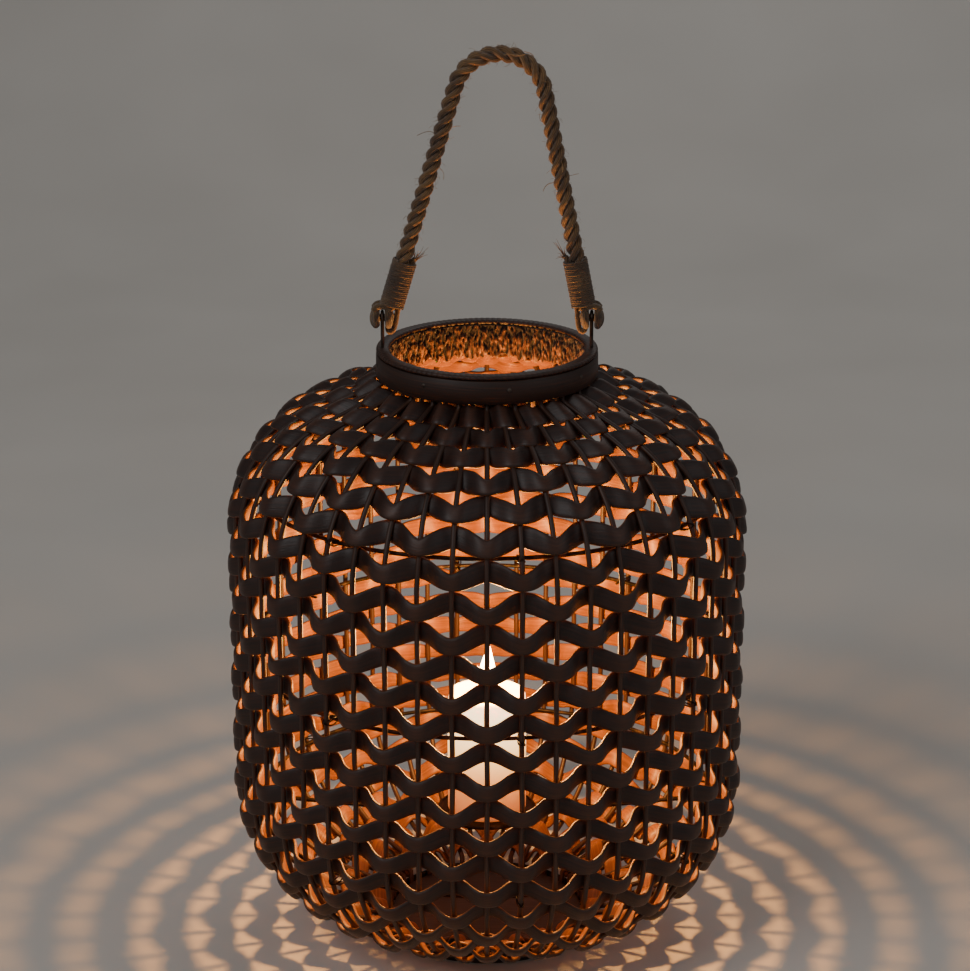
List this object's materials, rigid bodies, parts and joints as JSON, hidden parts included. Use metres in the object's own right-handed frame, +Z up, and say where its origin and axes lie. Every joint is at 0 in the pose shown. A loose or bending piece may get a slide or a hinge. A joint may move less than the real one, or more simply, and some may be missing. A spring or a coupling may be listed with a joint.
{
  "type": "hanging lantern",
  "caption": "Round woven rattan lantern with a narrow collar, a rope handle that swings over the mouth, and a pillar candle on a wire-hung plate inside.",
  "frame": {"origin": "centre of the foot, on the floor", "axes": "+Z up, +X through the right-hand handle eye, -Y is the front"},
  "size_m": [0.4, 0.4, 0.7065],
  "materials": {
    "rattan_weft": "stained, satin",
    "rattan_stake": "stained, satin",
    "collar_wood": "stained, matt",
    "jute_lining": "coarse fibre",
    "foot_wood": "stained, matt",
    "dark_wire": "matt black",
    "eye_wire": "dark, worn",
    "nail_steel": "dull",
    "plate_metal": "matt black",
    "candle_wax": "wax",
    "wick_cord": "charred",
    "jute_rope": "twisted, hairy",
    "whipping_cord": "tight cord"
  },
  "bodies": {
    "lantern": {"weft_01": "rattan_weft", "weft_02": "rattan_weft", "weft_03": "rattan_weft", "weft_04": "rattan_weft", "weft_05": "rattan_weft", "weft_06": "rattan_weft", "weft_07": "rattan_weft", "weft_08": "rattan_weft", "weft_09": "rattan_weft", "weft_10": "rattan_weft", "weft_11": "rattan_weft", "weft_12": "rattan_weft", "weft_13": "rattan_weft", "weft_14": "rattan_weft", "weft_15": "rattan_weft", "weft_16": "rattan_weft", "weft_17": "rattan_weft", "weft_18": "rattan_weft", "weft_19": "rattan_weft", "weft_20": "rattan_weft", "weft_21": "rattan_weft", "weft_22": "rattan_weft", "weft_23": "rattan_weft", "weft_24": "rattan_weft", "weft_25": "rattan_weft", "stakes_front": "rattan_stake", "stakes_right": "rattan_stake", "stakes_back": "rattan_stake", "stakes_left": "rattan_stake", "hoop_upper": "dark_wire", "hoop_middle": "dark_wire", "hoop_lower": "dark_wire", "hoop_ties": "dark_wire", "collar_band": "collar_wood", "collar_lining": "jute_lining", "rim_cap": "collar_wood", "collar_nails": "nail_steel", "foot_band": "foot_wood", "base_disc": "foot_wood", "base_nails": "nail_steel", "eye_left": "eye_wire", "eye_right": "eye_wire", "candle_plate": "plate_metal", "plate_rim": "plate_metal", "plate_spokes": "dark_wire"},
    "handle": {"handle_rope": "jute_rope", "whipping_left": "whipping_cord", "whipping_right": "whipping_cord", "knot_left": "jute_rope", "knot_right": "jute_rope"},
    "candle_pillar": {"candle": "candle_wax", "wick": "wick_cord"}
  },
  "joints": [
    {"name": "handle_swing", "type": "hinge", "parent": "lantern", "child": "handle", "pos_m": [0, 0, 0.5], "axis": [1, 0, 0], "range_deg": [-100, 100]},
    {"name": "candle_lift", "type": "slide", "parent": "lantern", "child": "candle_pillar", "axis": [0, 0, 1], "range_m": [0, 0.385]}
  ]
}
